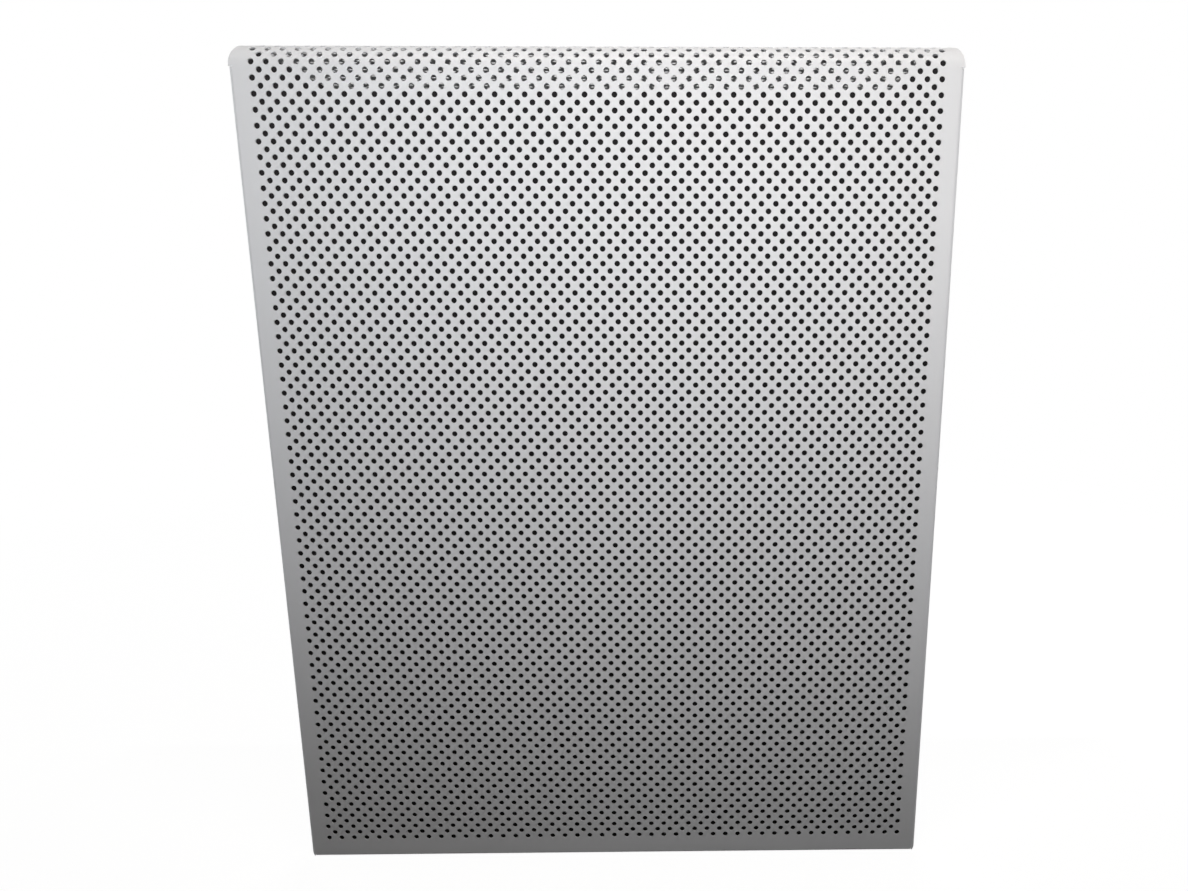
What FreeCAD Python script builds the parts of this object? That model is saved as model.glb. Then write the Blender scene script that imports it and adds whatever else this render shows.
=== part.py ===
import FreeCAD, Part
import math
import os

# Radiator cover: one blank of perforated sheet steel, folded into a front, a top shelf and narrow returns.
# It stands upright with its front looking along -Y and its shelf reaching back along +Y.
# The origin is in the middle of its width and depth, level with its lower edge. All sizes are in mm.

# Overall sizes, outside to outside
width = 490.0
height = 610.0
depth = 168.0
sheet = 0.8

# Folds, as radii of the outer face
roll_radius = 15.5
fold_radius = 2.5

# Flanges that stiffen the edges, each measured from the outer face that it is folded from
side_return = 20.0
bottom_return = 15.0
rear_lip = 15.0

# Corners, where the blank is cut away so that two folds can pass each other. The gap is the slit between
# them, the radius rounds the lower corners of the side returns, and the setback is how far the ends of the
# shelf stand in from the sides.
corner_gap = 0.5
corner_radius = 5.0
shelf_setback = 5.0

# Punching: round holes in rows half a pitch apart, each row shifted by half a pitch. The rows run up the
# front, over the roll and back along the shelf. The margins run from an edge to the nearest centres.
hole_diameter = 4.0
hole_pitch = 10.0
side_margin = 15.0
bottom_margin = 17.0
rear_margin = 15.0

# A drawn hole stands for a group of this many punched holes across, in as many rows. It is round to so many
# flats and has the group's open area. At a group of 1, every hole of the real sheet is drawn.
group_count = 5
flats = 8

# Places that follow from the sizes above
front_face = -depth / 2
rear_face = depth / 2
roll_tangent = height - roll_radius
neutral_radius = roll_radius - sheet / 2
roll_length = neutral_radius * math.pi / 2
roll_end_radius = (shelf_setback ** 2 + roll_radius ** 2) / (2 * shelf_setback)
fold_clearance = fold_radius + corner_gap
row_step = hole_pitch / 2
drawn_radius = group_count * hole_diameter / 2
drawn_inset = (group_count - 1) * hole_diameter / 2


def rounded_corner(corner, before, after, radius):
    """Start, middle and end of the arc that rounds a square corner of a folded line."""
    towards_start = (before - corner).normalize()
    towards_end = (after - corner).normalize()
    start = corner + towards_start * radius
    end = corner + towards_end * radius
    centre = start + towards_end * radius
    middle = centre + (corner - centre).normalize() * radius
    return start, middle, end


def folded_line(points, radii):
    """Edges of one open line through the points, with an arc at each inner point."""
    edges = []
    last = points[0]
    for index, radius in enumerate(radii, start=1):
        corner = rounded_corner(points[index], points[index - 1], points[index + 1], radius)
        edges.append(Part.LineSegment(last, corner[0]).toShape())
        edges.append(Part.Arc(*corner).toShape())
        last = corner[2]
    edges.append(Part.LineSegment(last, points[-1]).toShape())
    return edges


def folded_section(outer, inner, outer_radii):
    """Face of the folded sheet's section, between its outer line and its inner line."""
    edges = folded_line(outer, outer_radii)
    edges += folded_line(inner, [radius - sheet for radius in outer_radii])
    edges.append(Part.LineSegment(outer[0], inner[0]).toShape())
    edges.append(Part.LineSegment(outer[-1], inner[-1]).toShape())
    return Part.Face(Part.Wire(Part.__sortEdges__(edges)))


def side_waste(side):
    """Waste beside the front and the bottom return (side -1 or 1), where the side return takes over."""
    inner_edge = side * (width / 2 - fold_clearance)
    outer_edge = side * width
    corner = FreeCAD.Vector(min(inner_edge, outer_edge), front_face - sheet, -sheet)
    return Part.makeBox(abs(outer_edge - inner_edge), depth, roll_tangent + sheet, corner)


def roll_waste(side):
    """Waste cut off one end (side -1 or 1) of the roll, which curves in from full width to the shelf."""
    half_turn = math.atan(shelf_setback / roll_radius)
    inward = -side * roll_end_radius * (1 - math.cos(half_turn))
    start = FreeCAD.Vector(side * width / 2, front_face, roll_tangent)
    middle = start + FreeCAD.Vector(inward, 0, roll_end_radius * math.sin(half_turn))
    end = start + FreeCAD.Vector(-side * shelf_setback, 0, roll_radius)
    edges = Part.makePolygon([
        end,
        end + FreeCAD.Vector(0, 0, sheet),
        end + FreeCAD.Vector(side * width, 0, sheet),
        start + FreeCAD.Vector(side * width, 0, 0),
        start,
    ]).Edges
    edges.append(Part.Arc(start, middle, end).toShape())
    return Part.Face(Part.Wire(edges)).extrude(FreeCAD.Vector(0, roll_radius, 0))


def shelf_waste(side):
    """Waste cut off one end (side -1 or 1) of the shelf and the rear lip, behind the roll."""
    inner_edge = side * (width / 2 - shelf_setback)
    outer_edge = side * width
    corner = FreeCAD.Vector(min(inner_edge, outer_edge), front_face + roll_radius, height - rear_lip - sheet)
    return Part.makeBox(abs(outer_edge - inner_edge), depth, rear_lip + 2 * sheet, corner)


def front_roll_and_shelf():
    """Bottom return, front, roll, shelf and rear lip: one section drawn out along the width, then trimmed."""
    half = width / 2
    outer = [
        FreeCAD.Vector(-half, front_face + bottom_return, 0),
        FreeCAD.Vector(-half, front_face, 0),
        FreeCAD.Vector(-half, front_face, height),
        FreeCAD.Vector(-half, rear_face, height),
        FreeCAD.Vector(-half, rear_face, height - rear_lip),
    ]
    inner = [
        FreeCAD.Vector(-half, front_face + bottom_return, sheet),
        FreeCAD.Vector(-half, front_face + sheet, sheet),
        FreeCAD.Vector(-half, front_face + sheet, height - sheet),
        FreeCAD.Vector(-half, rear_face - sheet, height - sheet),
        FreeCAD.Vector(-half, rear_face - sheet, height - rear_lip),
    ]
    section = folded_section(outer, inner, [fold_radius, roll_radius, fold_radius])
    waste = [cut(side) for cut in (side_waste, roll_waste, shelf_waste) for side in (-1, 1)]
    return section.extrude(FreeCAD.Vector(width, 0, 0)).cut(waste)


def bottom_waste():
    """Waste between the lower ends of the side folds, where the bottom return takes over."""
    half = width / 2 - fold_radius
    corner = FreeCAD.Vector(-half, front_face - sheet, -sheet)
    return Part.makeBox(2 * half, side_return, fold_clearance + sheet, corner)


def corner_waste(side):
    """Waste at one lower corner (side -1 or 1), outside the rounding of its fold and below its flange."""
    corner = FreeCAD.Vector(side * width / 2, front_face, 0)
    inward = corner - FreeCAD.Vector(side * width, 0, 0)
    upward = corner + FreeCAD.Vector(0, 0, height)
    start, middle, end = rounded_corner(corner, inward, upward, corner_radius)
    edges = Part.makePolygon([start, corner, end]).Edges
    edges.append(Part.Arc(end, middle, start).toShape())
    fold_end = Part.Face(Part.Wire(edges)).extrude(FreeCAD.Vector(0, fold_radius, 0))
    inner_edge = side * (width / 2 - fold_radius)
    outer_edge = side * width
    place = FreeCAD.Vector(min(inner_edge, outer_edge), front_face + fold_radius, -sheet)
    flange_end = Part.makeBox(abs(outer_edge - inner_edge), side_return, corner_radius + sheet, place)
    return fold_end.fuse(flange_end)


def front_and_sides():
    """Front and side returns: one section drawn up to the roll, then trimmed clear of the bottom return."""
    side = width / 2
    outer = [
        FreeCAD.Vector(-side, front_face + side_return, 0),
        FreeCAD.Vector(-side, front_face, 0),
        FreeCAD.Vector(side, front_face, 0),
        FreeCAD.Vector(side, front_face + side_return, 0),
    ]
    inner = [
        FreeCAD.Vector(-side + sheet, front_face + side_return, 0),
        FreeCAD.Vector(-side + sheet, front_face + sheet, 0),
        FreeCAD.Vector(side - sheet, front_face + sheet, 0),
        FreeCAD.Vector(side - sheet, front_face + side_return, 0),
    ]
    section = folded_section(outer, inner, [fold_radius, fold_radius])
    waste = [bottom_waste(), corner_waste(-1), corner_waste(1)]
    return section.extrude(FreeCAD.Vector(0, 0, roll_tangent - corner_gap)).cut(waste)


def spread(first, last, pitch):
    """Places from first to last, evenly apart and as near to the pitch as they fit."""
    steps = max(1, round((last - first) / pitch))
    return [first + (last - first) * index / steps for index in range(steps + 1)]


def staggered(columns, rows):
    """Centres of a staggered pattern: on the columns in one row, midway between them in the next."""
    between = [(left + right) / 2 for left, right in zip(columns, columns[1:])]
    return [(x, row) for index, row in enumerate(rows) for x in (between if index % 2 else columns)]


def on_sheet(x, rise):
    """Middle of the sheet, and its outward direction, at a height up the flat blank."""
    past_roll = rise - roll_tangent - roll_length
    turn = math.pi / 2 * min(1, max(0, 1 + past_roll / roll_length))
    outward = FreeCAD.Vector(0, -math.cos(turn), math.sin(turn))
    y = front_face + roll_radius + max(0, past_roll)
    z = min(rise, roll_tangent)
    return FreeCAD.Vector(x, y, z) + outward * neutral_radius, outward


def drill(x, rise):
    """Bit for one drawn hole, square to the sheet and long enough to pass through it on the roll too."""
    middle, outward = on_sheet(x, rise)
    reach = sheet + roll_radius / 2
    turn = FreeCAD.Rotation(FreeCAD.Vector(0, 0, 1), outward)
    flat_angle = 2 * math.pi / flats
    spoke = drawn_radius * math.sqrt(flat_angle / math.sin(flat_angle))
    rim = []
    for index in range(flats + 1):
        angle = flat_angle * (index % flats)
        corner = FreeCAD.Vector(spoke * math.cos(angle), spoke * math.sin(angle), -reach)
        rim.append(middle + turn.multVec(corner))
    return Part.Face(Part.makePolygon(rim)).extrude(outward * (2 * reach))


def holes():
    """Bits for the drawn holes, spread up the front, over the roll and back along the shelf."""
    half = width / 2 - side_margin - drawn_inset
    columns = spread(-half, half, group_count * hole_pitch)
    last_row = roll_tangent + roll_length + depth - roll_radius - rear_margin
    rows = spread(bottom_margin + drawn_inset, last_row - drawn_inset, group_count * row_step)
    return [drill(x, rise) for x, rise in staggered(columns, rows)]


def cover():
    """The finished cover, folded and punched from one sheet."""
    folded = front_roll_and_shelf().fuse(front_and_sides()).removeSplitter()
    return folded.cut(holes())


os.makedirs("parts", exist_ok=True)
cover().exportStep("parts/cover.step")
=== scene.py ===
import math

import bmesh
import bpy
from mathutils import Matrix, Vector


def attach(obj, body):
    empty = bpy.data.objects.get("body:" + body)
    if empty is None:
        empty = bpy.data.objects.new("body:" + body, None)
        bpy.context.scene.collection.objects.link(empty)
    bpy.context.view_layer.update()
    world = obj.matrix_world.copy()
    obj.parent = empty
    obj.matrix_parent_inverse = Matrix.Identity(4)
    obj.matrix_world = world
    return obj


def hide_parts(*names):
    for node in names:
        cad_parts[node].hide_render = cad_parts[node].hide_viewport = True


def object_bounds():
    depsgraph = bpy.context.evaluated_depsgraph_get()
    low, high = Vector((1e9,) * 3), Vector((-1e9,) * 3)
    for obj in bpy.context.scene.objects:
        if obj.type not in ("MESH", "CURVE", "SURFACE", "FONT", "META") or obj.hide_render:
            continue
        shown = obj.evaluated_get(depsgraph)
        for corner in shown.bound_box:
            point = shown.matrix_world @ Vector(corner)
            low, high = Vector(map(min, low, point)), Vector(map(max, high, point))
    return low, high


bl_info = {
    "name": "Radiator cover",
    "version": (1, 0, 0),
    "blender": (4, 5, 0),
    "location": "3D View > Sidebar > Radiator cover",
    "description": "Punched and folded sheet steel radiator cover in white powder coat, on its stage",
    "category": "Object",
}

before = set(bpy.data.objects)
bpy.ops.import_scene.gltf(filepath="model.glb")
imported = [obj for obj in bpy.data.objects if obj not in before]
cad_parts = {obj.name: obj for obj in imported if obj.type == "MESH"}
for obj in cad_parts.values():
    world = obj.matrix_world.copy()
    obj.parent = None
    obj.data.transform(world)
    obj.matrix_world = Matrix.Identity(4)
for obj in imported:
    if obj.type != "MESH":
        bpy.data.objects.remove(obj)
CAD_LOW, CAD_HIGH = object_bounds()

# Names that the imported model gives
BODY = "root"
NODE = "cover"

# The sheet is modelled flat, as its blank, in bands that are each so many pairs of hole rows high.
# The front has three bands. The top one holds the roll and the shelf.
FRONT_BANDS = (("front_lower", 20), ("front_middle", 19), ("front_upper", 18))
TOP_BAND = ("top_shelf", 17)

# Drawing accuracy: flats round a hole, steps round a small fold, and what counts as the same place
HOLE_FLATS = 12
FOLD_STEPS = 6
SAME_PLACE = 1e-5
SMOOTH_ANGLE = math.radians(35)

# The photograph's picture, in pixels, and what the camera had to be to take it
PICTURE_WIDTH = 1188
SENSOR_WIDTH = 36.0
FOCAL_PIXELS = 850.0
CAMERA_PLACE = (0.04602, -0.69535, 0.45087)
CAMERA_YAW = math.radians(0.820)
CAMERA_PITCH = math.radians(12.419)
CAMERA_ROLL = math.radians(-0.057)
CENTRE_RIGHT_PIXELS = 87.6
CENTRE_DOWN_PIXELS = 28.9

# The lamps: where each one stands, and where it looks
TOP_LAMP = ((0.05, -0.40, 1.00), (0.02, -0.05, 0.45))
LEFT_SPOT = ((-0.45, -1.70, 0.85), (-0.20, -0.08, 0.62))
LOW_SPOT = ((-0.60, -1.60, 0.70), (-0.20, -0.08, 0.42))
MIDDLE_SPOT = ((0.10, -1.90, 0.80), (0.06, -0.08, 0.58))
RIGHT_SPOT = ((0.55, -1.50, 0.75), (0.28, -0.08, 0.46))
LEFT_LAMP = ((-1.5, 0.3, 0.9), (0.0, 0.0, 0.3))
RIGHT_LAMP = ((1.5, 0.3, 0.9), (0.0, 0.0, 0.3))
BACK_LAMP = ((0.3, 1.7, 1.1), (0.0, 0.0, 0.3))

# Sizes on the stage, and how wide the spots open
FLOOR_SIZE = 16.0
TOP_LAMP_SIZE = (0.8, 0.3)
SIDE_LAMP_SIZE = (1.0, 1.0)
BACK_LAMP_SIZE = (1.4, 1.0)
SPOT_RADIUS = 0.25
NARROW_SPOT = math.radians(30)
SPOT = math.radians(34)
WIDE_SPOT = math.radians(36)
NEUTRAL = (1.0, 1.0, 1.0)

# Noise detail of the coat's tone and of its surface, and how late the painted shade on the card behind the
# holes turns paler towards the top, a painted fall of light
TONE_DETAIL = 3.0
SURFACE_DETAIL = 1.0
PAINTED_SHADE_FADE = 2.0


def length(name, description, default):
    """Property for one length in metres."""
    return bpy.props.FloatProperty(
        name=name, description=description, default=default, min=0.0, precision=5,
        subtype="DISTANCE", unit="LENGTH")


def colour(name, description, default):
    """Property for one colour."""
    return bpy.props.FloatVectorProperty(
        name=name, description=description, default=default, size=3, min=0.0, max=1.0, subtype="COLOR")


def share(name, description, default):
    """Property for a share from 0 to 1."""
    return bpy.props.FloatProperty(
        name=name, description=description, default=default, min=0.0, max=1.0, subtype="FACTOR")


def power(name, description, default):
    """Property for a lamp's power in watts."""
    return bpy.props.FloatProperty(
        name=name, description=description, default=default, min=0.0, subtype="POWER", unit="POWER")


class CoverSheet(bpy.types.PropertyGroup):
    """Sizes of the folded sheet, outside to outside."""

    width: length("Width", "Across the front", CAD_HIGH.x - CAD_LOW.x)
    height: length("Height", "From the lower edge to the shelf", CAD_HIGH.z - CAD_LOW.z)
    depth: length("Depth", "From the front to the rear lip", CAD_HIGH.y - CAD_LOW.y)
    front_face: bpy.props.FloatProperty(
        name="Front face", description="Place of the front along the depth", default=CAD_LOW.y,
        subtype="DISTANCE", unit="LENGTH")
    sheet: length("Sheet", "Thickness of the steel", 0.0008)
    roll_radius: length("Roll radius", "Outer radius of the roll between front and shelf", 0.0155)
    fold_radius: length("Fold radius", "Outer radius of the other folds", 0.0025)
    side_return: length("Side return", "Depth of the flange down each side", 0.020)
    bottom_return: length("Bottom return", "Depth of the flange along the lower edge", 0.015)
    rear_lip: length("Rear lip", "Drop of the flange behind the shelf", 0.015)
    corner_gap: length("Corner gap", "Slit between two folds that pass each other", 0.0005)
    corner_radius: length("Corner radius", "Rounding of the side returns' lower corners", 0.005)
    shelf_setback: length("Shelf setback", "How far the shelf's ends stand in from the sides", 0.005)


class CoverPunching(bpy.types.PropertyGroup):
    """The staggered pattern of round holes."""

    hole_diameter: length("Hole", "Diameter of a punched hole", 0.004)
    hole_pitch: length("Pitch", "From hole to hole along a row", 0.010)
    bottom_margin: length("Bottom margin", "From the lower edge to the first row", 0.017)
    columns: bpy.props.IntProperty(
        name="Columns", description="Holes in the longer rows", default=47, min=2)


class CoverFinish(bpy.types.PropertyGroup):
    """The powder coat."""

    coat: colour("Coat", "Colour of the powder coat", (0.80, 0.80, 0.82))
    coat_shade: colour("Coat shade", "Colour where the coat lies thinner", (0.76, 0.77, 0.80))
    roughness: share("Roughness", "Roughness of the satin coat", 0.42)
    roughness_drift: share("Roughness drift", "How much rougher the coat is where it lies thinner", 0.06)
    peel_size: length("Peel size", "Size of the coat's orange peel", 0.0016)
    peel_depth: length("Peel depth", "Depth of the coat's orange peel", 0.000012)
    wave_size: length("Wave size", "Size of the sheet's slight waves", 0.14)
    wave_depth: length("Wave depth", "Depth of the sheet's slight waves", 0.0003)


class CoverStage(bpy.types.PropertyGroup):
    """Floor, cards of painted shade, lamps and surrounding light."""

    floor_colour: colour("Floor", "Light that the floor gives back", (0.16, 0.16, 0.16))
    floor_lift: share("Floor lift", "White that the floor shows by itself near the cover", 0.94)
    floor_near: length("Floor near", "How far from the cover the floor keeps its shadow", 0.7)
    floor_far: length("Floor far", "How far from the cover the floor is plain white", 1.6)
    # Painted shade: colours of the dark cards behind the holes and inside the cover; the upper one is paler,
    # a painted fall of light towards the top
    painted_shade_low: colour("Painted shade low", "Darkness behind the lower holes", (0.0015, 0.0014, 0.0013))
    painted_shade_high: colour("Painted shade high", "Darkness behind the upper holes", (0.026, 0.024, 0.025))
    card_gap: length("Card gap", "From the cover to the dark cards behind its front and its rear", 0.006)
    shelf_shown: length("Shelf shown", "How far back the shelf shows through the front's upper holes", 0.141)
    around: colour("Around", "Colour of the surrounding light", (0.92, 0.96, 1.0))
    around_strength: share("Around strength", "Strength of the surrounding light", 0.01)
    top: power("Top", "Soft lamp above the cover", 2.1)
    top_tint: colour("Top tint", "Colour of the lamp above the cover", (1.0, 0.95, 0.87))
    left_spot: power("Left spot", "Soft spot on the upper left of the front", 20.0)
    left_tint: colour("Left tint", "Colour of the upper left spot", (0.86, 0.93, 1.0))
    low_spot: power("Low spot", "Soft spot on the left of the front, lower down", 16.0)
    middle_spot: power("Middle spot", "Soft spot on the upper middle of the front", 38.5)
    right_spot: power("Right spot", "Soft spot on the right of the front", 28.5)
    sides: power("Sides", "Each of the two lamps beside the cover", 3.5)
    back: power("Back", "Lamp behind the cover", 12.0)


def deselect_all():
    """Leave edit mode and select nothing."""
    if bpy.context.object and bpy.context.object.mode != "OBJECT":
        bpy.ops.object.mode_set(mode="OBJECT")
    bpy.ops.object.select_all(action="DESELECT")


def repeat(obj, count, step):
    """Repeat the active mesh in a straight line, merged where the copies meet."""
    array = obj.modifiers.new("Repeat", "ARRAY")
    array.count = count
    array.use_relative_offset = False
    array.use_constant_offset = True
    array.constant_offset_displace = step
    array.use_merge_vertices = True
    array.merge_threshold = SAME_PLACE
    bpy.ops.object.modifier_apply(modifier=array.name)


def select_open_edges(obj, chosen):
    """In edit mode, select only the open edges that the test chooses by their two ends."""
    bpy.ops.mesh.select_mode(type="EDGE")
    bpy.ops.mesh.select_all(action="DESELECT")
    mesh = bmesh.from_edit_mesh(obj.data)
    for edge in mesh.edges:
        if edge.is_boundary and chosen(edge.verts[0].co, edge.verts[1].co):
            edge.select_set(True)
    bmesh.update_edit_mesh(obj.data)


def extrude(step):
    """Extrude the selected edges by one step."""
    bpy.ops.mesh.extrude_region_move(TRANSFORM_OT_translate={"value": step})


def place_selected(obj, place):
    """In edit mode, put each selected vertex where the function says."""
    mesh = bmesh.from_edit_mesh(obj.data)
    for vertex in mesh.verts:
        if vertex.select:
            vertex.co = place(vertex.co)
    bmesh.update_edit_mesh(obj.data)


def bent(distance, radius, sheet):
    """How far ahead and how far back a right-angled fold takes a point of the blank, past its start."""
    neutral = radius - sheet / 2
    arc = neutral * math.pi / 2
    if distance > arc:
        return radius, radius + distance - arc
    turn = distance / neutral
    return radius * math.sin(turn), radius * (1 - math.cos(turn))


def fold_arc(radius, sheet):
    """Length of blank that a right-angled fold takes up."""
    return (radius - sheet / 2) * math.pi / 2


def half_width(z, s):
    """Half the width of the sheet at a height on the blank: it curves in over the roll."""
    over = z - (s.height - s.roll_radius)
    if over <= 0:
        return s.width / 2
    ahead, _ = bent(over, s.roll_radius, s.sheet)
    end_radius = (s.shelf_setback ** 2 + s.roll_radius ** 2) / (2 * s.shelf_setback)
    return s.width / 2 - end_radius + math.sqrt(end_radius ** 2 - ahead ** 2)


def corner_rise(x, s):
    """Height of the rounded lower corner's edge at a distance from the middle of the folded cover."""
    across = max(0.0, x - (s.width / 2 - s.corner_radius))
    return s.corner_radius - math.sqrt(max(0.0, s.corner_radius ** 2 - across ** 2))


def folded(point, s):
    """Place of a point of the blank on the outer face of the folded cover."""
    side_tangent = s.width / 2 - s.fold_radius
    roll_tangent = s.height - s.roll_radius
    side = math.copysign(1.0, point.x)
    if point.z > roll_tangent + SAME_PLACE:
        return folded_top(point, roll_tangent, s)
    if abs(point.x) <= side_tangent - s.corner_gap + SAME_PLACE:
        ahead, back = bent(max(0.0, s.fold_radius - point.z), s.fold_radius, s.sheet)
        return Vector((point.x, s.front_face + back, max(point.z, s.fold_radius) - ahead))
    if abs(point.z - roll_tangent) < SAME_PLACE and abs(abs(point.x) - s.width / 2) < SAME_PLACE:
        return point
    ahead, back = bent(max(0.0, abs(point.x) - side_tangent), s.fold_radius, s.sheet)
    x = min(abs(point.x), side_tangent + ahead)
    z = min(max(point.z, corner_rise(x, s)), roll_tangent - s.corner_gap)
    return Vector((side * x, s.front_face + back, z))


def folded_top(point, roll_tangent, s):
    """Place on the roll, the shelf or the rear lip of a point of the blank."""
    ahead, back = bent(point.z - roll_tangent, s.roll_radius, s.sheet)
    y = s.front_face + back
    rear_tangent = s.front_face + s.depth - s.fold_radius
    if y <= rear_tangent:
        return Vector((point.x, y, roll_tangent + ahead))
    ahead, back = bent(y - rear_tangent, s.fold_radius, s.sheet)
    return Vector((point.x, rear_tangent + ahead, s.height - back))


def hole_cell(x, z, s, p):
    """One hole in the flat sheet, with the sheet round it out to halfway to its neighbours."""
    deselect_all()
    quarter = p.hole_pitch / 4
    bpy.ops.mesh.primitive_circle_add(
        vertices=HOLE_FLATS, radius=p.hole_diameter / 2,
        location=(x, s.front_face, z), rotation=(math.pi / 2, 0, 0))
    obj = bpy.context.object
    bpy.ops.object.transform_apply(location=True, rotation=True, scale=True)
    bpy.ops.object.mode_set(mode="EDIT")
    bpy.ops.mesh.select_all(action="SELECT")
    extrude((0, 0, 0))

    def outline(rim):
        angle = math.atan2(rim.z - z, rim.x - x)
        across = round(2 * math.cos(angle))
        up = max(-1, min(1, round(2 * math.sin(angle))))
        return Vector((x + quarter * across, s.front_face, z + quarter * up))

    place_selected(obj, outline)
    bpy.ops.object.mode_set(mode="OBJECT")
    return obj


def fill_row_ends(obj, s, p):
    """Widen a shorter row by half a pitch at both ends, in steps that meet the rows beside it."""
    end = (p.columns - 1) * p.hole_pitch / 2
    bpy.ops.object.mode_set(mode="EDIT")
    for side in (-1, 1):
        select_open_edges(obj, lambda a, b: all(abs(v.x - side * end) < SAME_PLACE for v in (a, b)))
        for _ in range(2):
            extrude((side * p.hole_pitch / 4, 0, 0))
    bpy.ops.object.mode_set(mode="OBJECT")


def punched_band(name, first_pair, pairs, s, p):
    """Band of flat punched sheet: pairs of a longer and a shorter row of holes."""
    first_x = -(p.columns - 1) * p.hole_pitch / 2
    row_step = p.hole_pitch / 2
    first_z = p.bottom_margin + first_pair * p.hole_pitch
    longer = hole_cell(first_x, first_z, s, p)
    repeat(longer, p.columns, (p.hole_pitch, 0, 0))
    shorter = hole_cell(first_x + row_step, first_z + row_step, s, p)
    repeat(shorter, p.columns - 1, (p.hole_pitch, 0, 0))
    fill_row_ends(shorter, s, p)
    deselect_all()
    shorter.select_set(True)
    longer.select_set(True)
    bpy.context.view_layer.objects.active = longer
    bpy.ops.object.join()
    repeat(longer, pairs, (0, 0, p.hole_pitch))
    longer.name = longer.data.name = name
    return longer


def add_side_margins(obj, s, p):
    """Plain margins at both sides of a flat band, then the side returns or the ends of the roll."""
    punched_half = p.columns * p.hole_pitch / 2
    plain_half = s.width / 2 - s.fold_radius - s.corner_gap
    roll_tangent = s.height - s.roll_radius
    arc = fold_arc(s.fold_radius, s.sheet)
    flat = s.side_return - s.fold_radius
    for side in (-1, 1):
        select_open_edges(obj, lambda a, b: all(abs(v.x - side * punched_half) < SAME_PLACE for v in (a, b)))
        extrude((side * (plain_half - punched_half), 0, 0))
        place_selected(obj, lambda v: Vector((side * min(plain_half, half_width(v.z, s)), v.y, v.z)))
        select_open_edges(obj, lambda a, b: all(
            abs(v.x - side * plain_half) < SAME_PLACE and v.z < roll_tangent + SAME_PLACE for v in (a, b)))
        for step in [s.corner_gap] + [arc / FOLD_STEPS] * FOLD_STEPS + [flat]:
            extrude((side * step, 0, 0))
        add_roll_end(obj, side, plain_half, roll_tangent, s)


def add_roll_end(obj, side, plain_half, roll_tangent, s):
    """The curved end of the roll, which stands out over the slit above a side return."""

    def on_roll(v):
        along_margin = plain_half - s.shelf_setback < side * v.x < plain_half + SAME_PLACE
        return along_margin and v.z > roll_tangent - SAME_PLACE

    def over_slit(a, b):
        upright = abs(a.z - b.z) > SAME_PLACE
        wide = any(half_width(v.z, s) > plain_half for v in (a, b))
        return upright and wide and on_roll(a) and on_roll(b)

    select_open_edges(obj, over_slit)
    extrude((0, 0, 0))
    place_selected(obj, lambda v: Vector((side * half_width(v.z, s), v.y, v.z)))


def add_bottom_margin(obj, s, p):
    """Plain margin under the lowest row of a flat band, down to where the side returns end."""
    punched_low = p.bottom_margin - p.hole_pitch / 4
    select_open_edges(obj, lambda a, b: all(abs(v.z - punched_low) < SAME_PLACE for v in (a, b)))
    extrude((0, 0, s.fold_radius + s.corner_gap - punched_low))


def add_corner_tongues(obj, s):
    """Lower ends of the two side folds, which run down past the fold along the lower edge."""
    low = s.fold_radius + s.corner_gap
    side_tangent = s.width / 2 - s.fold_radius
    arc = fold_arc(s.fold_radius, s.sheet)
    select_open_edges(obj, lambda a, b: all(
        abs(v.z - low) < SAME_PLACE and side_tangent - SAME_PLACE < abs(v.x) < side_tangent + arc + SAME_PLACE
        for v in (a, b)))
    extrude((0, 0, -low))


def add_bottom_return(obj, s):
    """Fold and flange along the lower edge, between the side returns."""
    low = s.fold_radius + s.corner_gap
    reach = s.width / 2 - low + SAME_PLACE
    select_open_edges(obj, lambda a, b: all(abs(v.z - low) < SAME_PLACE and abs(v.x) < reach for v in (a, b)))
    steps = [s.corner_gap] + [fold_arc(s.fold_radius, s.sheet) / FOLD_STEPS] * FOLD_STEPS
    for step in steps + [s.bottom_return - s.fold_radius]:
        extrude((0, 0, -step))


def add_rear_lip(obj, punched_high, s):
    """Plain margin behind the last row of the shelf, then the fold and the lip."""
    roll_tangent = s.height - s.roll_radius
    shelf = s.depth - s.roll_radius - s.fold_radius
    rear_tangent = roll_tangent + fold_arc(s.roll_radius, s.sheet) + shelf
    select_open_edges(obj, lambda a, b: all(abs(v.z - punched_high) < SAME_PLACE for v in (a, b)))
    steps = [rear_tangent - punched_high] + [fold_arc(s.fold_radius, s.sheet) / FOLD_STEPS] * FOLD_STEPS
    for step in steps + [s.rear_lip - s.fold_radius]:
        extrude((0, 0, step))


def thicken(obj, s):
    """Give the folded face the sheet's thickness, inwards."""
    solid = obj.modifiers.new("Sheet", "SOLIDIFY")
    solid.thickness = s.sheet
    solid.offset = -1.0
    solid.use_even_offset = True
    solid.use_quality_normals = True
    bpy.ops.object.modifier_apply(modifier=solid.name)


def face_front(obj):
    """In edit mode, turn the flat blank's faces to the front."""
    bpy.ops.mesh.select_all(action="SELECT")
    bpy.ops.mesh.remove_doubles(threshold=SAME_PLACE)
    bpy.ops.mesh.normals_make_consistent(inside=False)
    mesh = bmesh.from_edit_mesh(obj.data)
    mesh.faces.ensure_lookup_table()
    if mesh.faces[0].normal.y > 0:
        bpy.ops.mesh.flip_normals()


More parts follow.
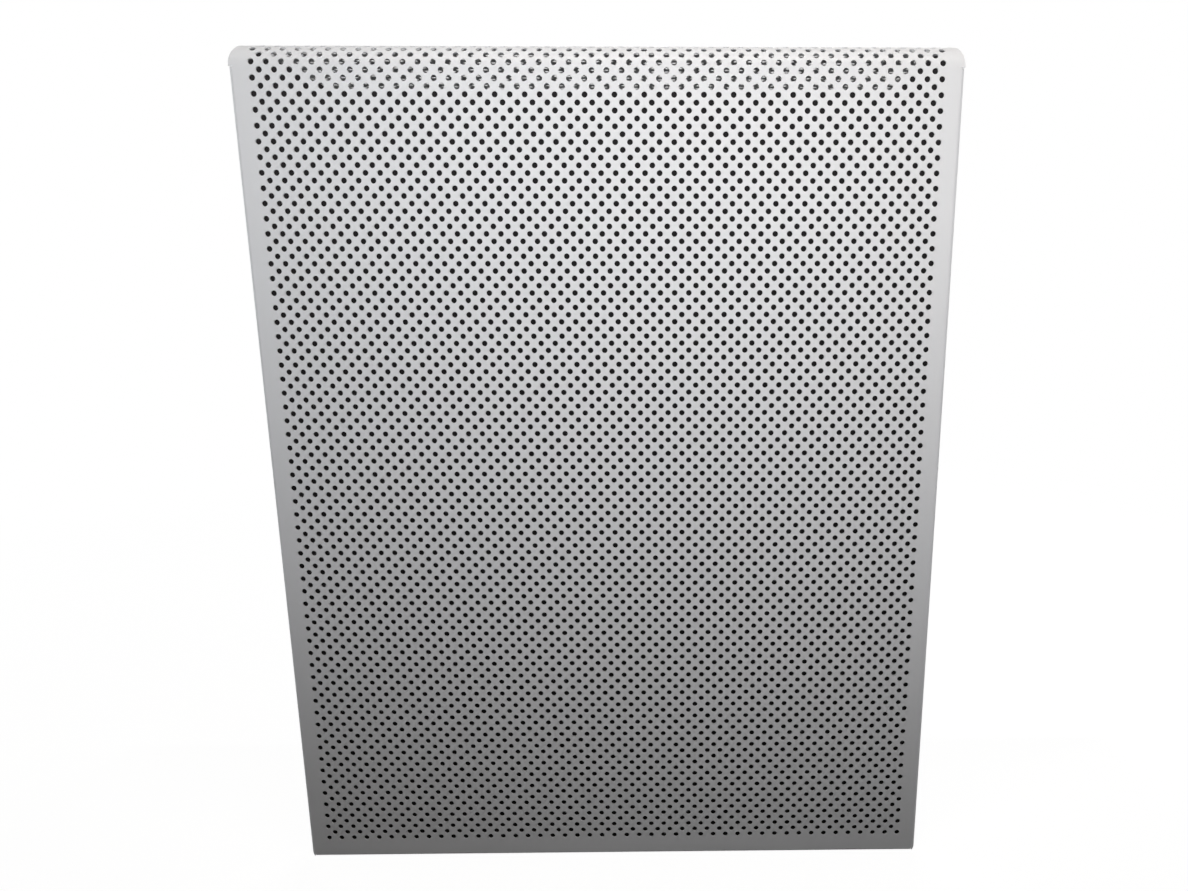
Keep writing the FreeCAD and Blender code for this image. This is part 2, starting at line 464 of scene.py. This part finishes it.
def make_band(name, first_pair, pairs, context):
    """One finished band of the cover: punched, given its margins, folded and thickened."""
    s, p = context.scene.cover_sheet, context.scene.cover_punching
    obj = punched_band(name, first_pair, pairs, s, p)
    bpy.ops.object.mode_set(mode="EDIT")
    lowest = first_pair == 0
    highest = name == TOP_BAND[0]
    if lowest:
        add_bottom_margin(obj, s, p)
    add_side_margins(obj, s, p)
    if lowest:
        add_corner_tongues(obj, s)
        add_bottom_return(obj, s)
    if highest:
        add_rear_lip(obj, p.bottom_margin + (first_pair + pairs) * p.hole_pitch - p.hole_pitch / 4, s)
    face_front(obj)
    bpy.ops.mesh.select_all(action="SELECT")
    place_selected(obj, lambda v: folded(v, s))
    bpy.ops.mesh.remove_doubles(threshold=SAME_PLACE)
    bpy.ops.object.mode_set(mode="OBJECT")
    thicken(obj, s)
    bpy.ops.object.shade_smooth_by_angle(angle=SMOOTH_ANGLE)
    obj.data.materials.clear()
    obj.data.materials.append(powder_coat(context.scene.cover_finish))
    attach(obj, BODY)
    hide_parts(NODE)
    return obj


def node(tree, kind, **settings):
    """Add a shader node with its settings."""
    made = tree.nodes.new(kind)
    for name, value in settings.items():
        setattr(made, name, value)
    return made


def new_group(name, inputs, outputs):
    """New shader node group with its named sockets; returns it with its two end nodes."""
    tree = bpy.data.node_groups.new(name, "ShaderNodeTree")
    for label, kind, default in inputs:
        socket = tree.interface.new_socket(label, in_out="INPUT", socket_type=kind)
        if default is not None:
            socket.default_value = default
    for label, kind in outputs:
        tree.interface.new_socket(label, in_out="OUTPUT", socket_type=kind)
    return tree, tree.nodes.new("NodeGroupInput"), tree.nodes.new("NodeGroupOutput")


def surface_noise():
    """Node group: soft noise of a real size, in metres, as a value about 0 to 1."""
    name = "Surface noise"
    if name in bpy.data.node_groups:
        return bpy.data.node_groups[name]
    tree, start, end = new_group(
        name,
        [("Size", "NodeSocketFloat", 0.1), ("Detail", "NodeSocketFloat", 2.0)],
        [("Value", "NodeSocketFloat")])
    place = node(tree, "ShaderNodeTexCoord")
    per_metre = node(tree, "ShaderNodeMath", operation="DIVIDE")
    per_metre.inputs[0].default_value = 1.0
    noise = node(tree, "ShaderNodeTexNoise")
    tree.links.new(start.outputs["Size"], per_metre.inputs[1])
    tree.links.new(place.outputs["Object"], noise.inputs["Vector"])
    tree.links.new(per_metre.outputs[0], noise.inputs["Scale"])
    tree.links.new(start.outputs["Detail"], noise.inputs["Detail"])
    tree.links.new(noise.outputs["Fac"], end.inputs["Value"])
    return tree


def noise_of(tree, size, detail):
    """Place the surface noise group in a material, at one size."""
    group = tree.nodes.new("ShaderNodeGroup")
    group.node_tree = surface_noise()
    group.inputs["Size"].default_value = size
    group.inputs["Detail"].default_value = detail
    return group


def powder_coat(finish):
    """White satin powder coat with orange peel, over a sheet with slight waves."""
    name = "White powder coat"
    if name in bpy.data.materials:
        return bpy.data.materials[name]
    material = bpy.data.materials.new(name)
    material.use_nodes = True
    tree = material.node_tree
    shader = tree.nodes["Principled BSDF"]
    thin = noise_of(tree, finish.wave_size, TONE_DETAIL)
    tone = node(tree, "ShaderNodeMix", data_type="RGBA")
    tone.inputs["A"].default_value = (*finish.coat, 1.0)
    tone.inputs["B"].default_value = (*finish.coat_shade, 1.0)
    rough = node(tree, "ShaderNodeMapRange")
    rough.inputs["To Min"].default_value = finish.roughness
    rough.inputs["To Max"].default_value = finish.roughness + finish.roughness_drift
    wave = node(tree, "ShaderNodeBump")
    wave.inputs["Distance"].default_value = finish.wave_depth
    peel_noise = noise_of(tree, finish.peel_size, SURFACE_DETAIL)
    peel = node(tree, "ShaderNodeBump")
    peel.inputs["Distance"].default_value = finish.peel_depth
    wave_noise = noise_of(tree, finish.wave_size, SURFACE_DETAIL)
    tree.links.new(thin.outputs["Value"], tone.inputs["Factor"])
    tree.links.new(tone.outputs["Result"], shader.inputs["Base Color"])
    tree.links.new(thin.outputs["Value"], rough.inputs["Value"])
    tree.links.new(rough.outputs["Result"], shader.inputs["Roughness"])
    tree.links.new(wave_noise.outputs["Value"], wave.inputs["Height"])
    tree.links.new(peel_noise.outputs["Value"], peel.inputs["Height"])
    tree.links.new(wave.outputs["Normal"], peel.inputs["Normal"])
    tree.links.new(peel.outputs["Normal"], shader.inputs["Normal"])
    return material


def seen_rays(tree):
    """Mask of the rays that show the surroundings: camera, glossy and transmission rays."""
    path = tree.nodes.new("ShaderNodeLightPath")
    glossy = node(tree, "ShaderNodeMath", operation="MAXIMUM")
    seen = node(tree, "ShaderNodeMath", operation="MAXIMUM")
    tree.links.new(path.outputs["Is Camera Ray"], glossy.inputs[0])
    tree.links.new(path.outputs["Is Glossy Ray"], glossy.inputs[1])
    tree.links.new(glossy.outputs[0], seen.inputs[0])
    tree.links.new(path.outputs["Is Transmission Ray"], seen.inputs[1])
    return seen.outputs[0]


def floor_material(stage):
    """Pale floor: its shadow shows near the cover, and further out it is plain white to the camera."""
    material = bpy.data.materials.new("Floor")
    material.use_nodes = True
    tree = material.node_tree
    tree.nodes.clear()
    end = tree.nodes.new("ShaderNodeOutputMaterial")
    diffuse = node(tree, "ShaderNodeBsdfDiffuse")
    diffuse.inputs["Color"].default_value = (*stage.floor_colour, 1.0)
    lift = tree.nodes.new("ShaderNodeEmission")
    lift.inputs["Strength"].default_value = stage.floor_lift
    near = tree.nodes.new("ShaderNodeAddShader")
    white = tree.nodes.new("ShaderNodeEmission")
    place = tree.nodes.new("ShaderNodeTexCoord")
    distance = node(tree, "ShaderNodeVectorMath", operation="LENGTH")
    fade = node(tree, "ShaderNodeMapRange", interpolation_type="SMOOTHSTEP")
    fade.inputs["From Min"].default_value = stage.floor_near
    fade.inputs["From Max"].default_value = stage.floor_far
    shown = tree.nodes.new("ShaderNodeMixShader")
    out = tree.nodes.new("ShaderNodeMixShader")
    tree.links.new(diffuse.outputs[0], near.inputs[0])
    tree.links.new(lift.outputs[0], near.inputs[1])
    tree.links.new(place.outputs["Object"], distance.inputs[0])
    tree.links.new(distance.outputs["Value"], fade.inputs["Value"])
    tree.links.new(fade.outputs["Result"], shown.inputs[0])
    tree.links.new(near.outputs[0], shown.inputs[1])
    tree.links.new(white.outputs[0], shown.inputs[2])
    tree.links.new(seen_rays(tree), out.inputs[0])
    tree.links.new(diffuse.outputs[0], out.inputs[1])
    tree.links.new(shown.outputs[0], out.inputs[2])
    tree.links.new(out.outputs[0], end.inputs["Surface"])
    return material


def painted_shade_card_material(name, rays, low, high, low_colour, high_colour):
    """Card of painted shade for some kinds of ray, on its front only: a dark emission, paler towards the top,
    stands in for shade. Every other ray passes through it.
    """
    material = bpy.data.materials.new(name)
    material.use_nodes = True
    tree = material.node_tree
    tree.nodes.clear()
    end = tree.nodes.new("ShaderNodeOutputMaterial")
    place = tree.nodes.new("ShaderNodeTexCoord")
    axes = tree.nodes.new("ShaderNodeSeparateXYZ")
    # Painted light: the card's dark colour turns paler towards the top
    rise = tree.nodes.new("ShaderNodeMapRange")
    rise.inputs["From Min"].default_value = low
    rise.inputs["From Max"].default_value = high
    steep = node(tree, "ShaderNodeMath", operation="POWER")
    steep.inputs[1].default_value = PAINTED_SHADE_FADE
    tone = node(tree, "ShaderNodeMix", data_type="RGBA")
    tone.inputs["A"].default_value = (*low_colour, 1.0)
    tone.inputs["B"].default_value = (*high_colour, 1.0)
    dark = tree.nodes.new("ShaderNodeEmission")
    clear = tree.nodes.new("ShaderNodeBsdfTransparent")
    path = tree.nodes.new("ShaderNodeLightPath")
    stopped = node(tree, "ShaderNodeMath", operation="MAXIMUM")
    side = tree.nodes.new("ShaderNodeNewGeometry")
    front = node(tree, "ShaderNodeMath", operation="SUBTRACT")
    out = tree.nodes.new("ShaderNodeMixShader")
    front.use_clamp = True
    tree.links.new(place.outputs["Object"], axes.inputs[0])
    tree.links.new(axes.outputs["Z"], rise.inputs["Value"])
    tree.links.new(rise.outputs["Result"], steep.inputs[0])
    tree.links.new(steep.outputs[0], tone.inputs["Factor"])
    tree.links.new(tone.outputs["Result"], dark.inputs["Color"])
    for ray, socket in zip(rays, stopped.inputs):
        tree.links.new(path.outputs[ray], socket)
    tree.links.new(stopped.outputs[0], front.inputs[0])
    tree.links.new(side.outputs["Backfacing"], front.inputs[1])
    tree.links.new(front.outputs[0], out.inputs[0])
    tree.links.new(clear.outputs[0], out.inputs[1])
    tree.links.new(dark.outputs[0], out.inputs[2])
    tree.links.new(out.outputs[0], end.inputs["Surface"])
    return material


def add_floor(stage):
    """Flat floor under the cover."""
    deselect_all()
    bpy.ops.mesh.primitive_plane_add(size=FLOOR_SIZE, location=(0, 0, CAD_LOW.z))
    floor = bpy.context.object
    floor.name = "floor"
    floor.data.materials.append(floor_material(stage))


def line_of_sight(to_shelf, card_y, s):
    """Where the camera's line of sight to a point of the shelf's underside passes the card."""
    eye = Vector(CAMERA_PLACE)
    target = Vector((*to_shelf, s.height - s.sheet))
    return eye.lerp(target, (card_y - eye.y) / (target.y - eye.y))


def add_front_painted_shade_card(s, p, stage):
    """Card of painted shade behind the front's holes: the camera sees a dark emission there in place of the
    shade inside the cover, paler towards the top. It is open where the camera sees the shelf's punching
    through them.
    """
    deselect_all()
    card_y = s.front_face + stage.card_gap
    half = s.width / 2 - stage.card_gap
    low, high = stage.card_gap, s.height - stage.card_gap
    shelf_half = (p.columns - 1) * p.hole_pitch / 2
    shelf_rear = s.front_face + stage.shelf_shown
    shelf_front = s.front_face + s.roll_radius
    window = [
        [line_of_sight((side * shelf_half, y), card_y, s) for side in (-1, 1)]
        for y in (shelf_rear, shelf_front)]
    bpy.ops.mesh.primitive_grid_add(
        x_subdivisions=3, y_subdivisions=2, size=2.0, rotation=(math.pi / 2, 0, 0))
    card = bpy.context.object
    card.name = "front_painted_shade_card"
    bpy.ops.object.transform_apply(location=False, rotation=True, scale=False)

    def outline(v):
        column, row = round(1.5 * (v.x + 1)), round(v.z + 1)
        left, right = window[1] if row == 2 else window[0]
        x = (-half, left.x, right.x, half)[column]
        return Vector((x, card_y, (low, window[0][0].z, high)[row]))

    bpy.ops.object.mode_set(mode="EDIT")
    bpy.ops.mesh.select_all(action="SELECT")
    place_selected(card, outline)
    bpy.ops.mesh.select_mode(type="FACE")
    bpy.ops.mesh.select_all(action="DESELECT")
    mesh = bmesh.from_edit_mesh(card.data)
    for face in mesh.faces:
        middle = face.calc_center_median()
        face.select_set(middle.z > window[0][0].z and abs(middle.x) < shelf_half / 2)
    bmesh.update_edit_mesh(card.data)
    bpy.ops.mesh.delete(type="FACE")
    bpy.ops.object.mode_set(mode="OBJECT")
    # Painted shade: a dark emission, paler towards the top, that the camera sees in the holes
    card.data.materials.append(
        painted_shade_card_material("Front card", ("Is Camera Ray",), low, high, stage.painted_shade_low, stage.painted_shade_high))


def add_inner_painted_shade_cards(s, stage):
    """Cards of painted shade behind and under the cover: dark to glossy and diffuse rays, they keep the
    shelf's underside dark as painted shade and a painted dark reflection.
    """
    high = s.height - s.rear_lip
    rear = s.front_face + s.depth + stage.card_gap
    middle = s.front_face + s.depth / 2
    cards = (
        ("rear_painted_shade_card", (0, rear, high / 2), math.pi / 2, 2 * s.width, high),
        ("floor_painted_shade_card", (0, middle, stage.card_gap), 0.0, s.width, s.depth))
    # Painted shade and painted dark reflection: these rays meet a dark emission here instead of the lit
    # surroundings
    rays = ("Is Glossy Ray", "Is Diffuse Ray")
    material = painted_shade_card_material("Inner card", rays, 0.0, 1.0, stage.painted_shade_low, stage.painted_shade_low)
    for name, place, tilt, across, along in cards:
        deselect_all()
        bpy.ops.mesh.primitive_plane_add(size=1.0, location=place, rotation=(tilt, 0, 0))
        card = bpy.context.object
        card.name = name
        card.scale = (across, along, 1.0)
        card.data.materials.append(material)


def aim(lamp, stand):
    """Put a lamp in the scene where it stands, looking where it should."""
    place, target = stand
    lamp.location = place
    lamp.rotation_euler = (Vector(target) - Vector(place)).to_track_quat("-Z", "Y").to_euler()
    bpy.context.scene.collection.objects.link(lamp)


def add_lamp(name, stand, size, watts, tint=NEUTRAL):
    """Soft rectangular lamp."""
    light = bpy.data.lights.new(name, "AREA")
    light.shape = "RECTANGLE"
    light.size, light.size_y = size
    light.energy = watts
    light.color = tint
    aim(bpy.data.objects.new(name, light), stand)


def add_spot(name, stand, angle, watts, tint=NEUTRAL):
    """Round spot with a soft edge."""
    light = bpy.data.lights.new(name, "SPOT")
    light.energy = watts
    light.color = tint
    light.spot_size = angle
    light.spot_blend = 1.0
    light.shadow_soft_size = SPOT_RADIUS
    aim(bpy.data.objects.new(name, light), stand)


def add_lamps(stage):
    """Lamps for the front, placed for the photograph's fall of light, and weaker ones beside and behind."""
    add_lamp("Top", TOP_LAMP, TOP_LAMP_SIZE, stage.top, stage.top_tint)
    add_spot("Left spot", LEFT_SPOT, NARROW_SPOT, stage.left_spot, stage.left_tint)
    add_spot("Low spot", LOW_SPOT, SPOT, stage.low_spot)
    add_spot("Middle spot", MIDDLE_SPOT, NARROW_SPOT, stage.middle_spot)
    add_spot("Right spot", RIGHT_SPOT, WIDE_SPOT, stage.right_spot)
    add_lamp("Left side", LEFT_LAMP, SIDE_LAMP_SIZE, stage.sides)
    add_lamp("Right side", RIGHT_LAMP, SIDE_LAMP_SIZE, stage.sides)
    add_lamp("Back", BACK_LAMP, BACK_LAMP_SIZE, stage.back)


def add_world(stage):
    """White surroundings to the eye, and a weaker even light on the cover."""
    world = bpy.data.worlds.new("Surroundings")
    bpy.context.scene.world = world
    world.use_nodes = True
    tree = world.node_tree
    tree.nodes.clear()
    end = tree.nodes.new("ShaderNodeOutputWorld")
    light = tree.nodes.new("ShaderNodeBackground")
    light.inputs["Color"].default_value = (*stage.around, 1.0)
    light.inputs["Strength"].default_value = stage.around_strength
    white = tree.nodes.new("ShaderNodeBackground")
    white.inputs["Color"].default_value = (1.0, 1.0, 1.0, 1.0)
    out = tree.nodes.new("ShaderNodeMixShader")
    tree.links.new(seen_rays(tree), out.inputs[0])
    tree.links.new(light.outputs[0], out.inputs[1])
    tree.links.new(white.outputs[0], out.inputs[2])
    tree.links.new(out.outputs[0], end.inputs["Surface"])


def add_camera():
    """Camera where the photograph was taken, with the photograph's framing."""
    data = bpy.data.cameras.new("Camera")
    data.sensor_width = SENSOR_WIDTH
    data.lens = SENSOR_WIDTH * FOCAL_PIXELS / PICTURE_WIDTH
    data.shift_x = -CENTRE_RIGHT_PIXELS / PICTURE_WIDTH
    data.shift_y = CENTRE_DOWN_PIXELS / PICTURE_WIDTH
    camera = bpy.data.objects.new("Camera", data)
    turn = Matrix.Rotation(-CAMERA_YAW, 4, "Z") @ Matrix.Rotation(math.pi / 2 - CAMERA_PITCH, 4, "X")
    camera.matrix_world = Matrix.Translation(CAMERA_PLACE) @ turn @ Matrix.Rotation(CAMERA_ROLL, 4, "Z")
    bpy.context.scene.collection.objects.link(camera)
    bpy.context.scene.camera = camera


class COVER_OT_front(bpy.types.Operator):
    """Add the punched front with its side and bottom returns"""

    bl_idname = "cover.front"
    bl_label = "Front"

    def execute(self, context):
        first_pair = 0
        for name, pairs in FRONT_BANDS:
            make_band(name, first_pair, pairs, context)
            first_pair += pairs
        return {"FINISHED"}


class COVER_OT_top(bpy.types.Operator):
    """Add the roll, the punched shelf and its rear lip"""

    bl_idname = "cover.top"
    bl_label = "Roll and shelf"

    def execute(self, context):
        name, pairs = TOP_BAND
        make_band(name, sum(count for _, count in FRONT_BANDS), pairs, context)
        return {"FINISHED"}


class COVER_OT_stage(bpy.types.Operator):
    """Add the floor, the dark cards of painted shade, the lamps, the surroundings and the camera"""

    bl_idname = "cover.stage"
    bl_label = "Stage"

    def execute(self, context):
        s, p = context.scene.cover_sheet, context.scene.cover_punching
        stage = context.scene.cover_stage
        add_floor(stage)
        add_front_painted_shade_card(s, p, stage)
        add_inner_painted_shade_cards(s, stage)
        add_lamps(stage)
        add_world(stage)
        add_camera()
        context.scene.view_settings.view_transform = "Standard"
        return {"FINISHED"}


class COVER_PT_panel(bpy.types.Panel):
    """Sidebar panel of the radiator cover"""

    bl_label = "Radiator cover"
    bl_idname = "COVER_PT_panel"
    bl_space_type = "VIEW_3D"
    bl_region_type = "UI"
    bl_category = "Radiator cover"

    def draw(self, context):
        for group in GROUPS:
            box = self.layout.box()
            settings = getattr(context.scene, group)
            for name in settings.bl_rna.properties.keys():
                if name not in ("rna_type", "name"):
                    box.prop(settings, name)
        for operator in (COVER_OT_front, COVER_OT_top, COVER_OT_stage):
            self.layout.operator(operator.bl_idname)


GROUPS = {
    "cover_sheet": CoverSheet,
    "cover_punching": CoverPunching,
    "cover_finish": CoverFinish,
    "cover_stage": CoverStage,
}
CLASSES = (*GROUPS.values(), COVER_OT_front, COVER_OT_top, COVER_OT_stage, COVER_PT_panel)


def register():
    """Register the classes and hang the settings on the scene."""
    for cls in CLASSES:
        bpy.utils.register_class(cls)
    for name, cls in GROUPS.items():
        setattr(bpy.types.Scene, name, bpy.props.PointerProperty(type=cls))


def unregister():
    """Take back what register added."""
    for name in GROUPS:
        delattr(bpy.types.Scene, name)
    for cls in reversed(CLASSES):
        bpy.utils.unregister_class(cls)


def main():
    """Build the cover and its stage."""
    register()
    bpy.ops.cover.front()
    bpy.ops.cover.top()
    bpy.ops.cover.stage()


if __name__ == "__main__":
    main()
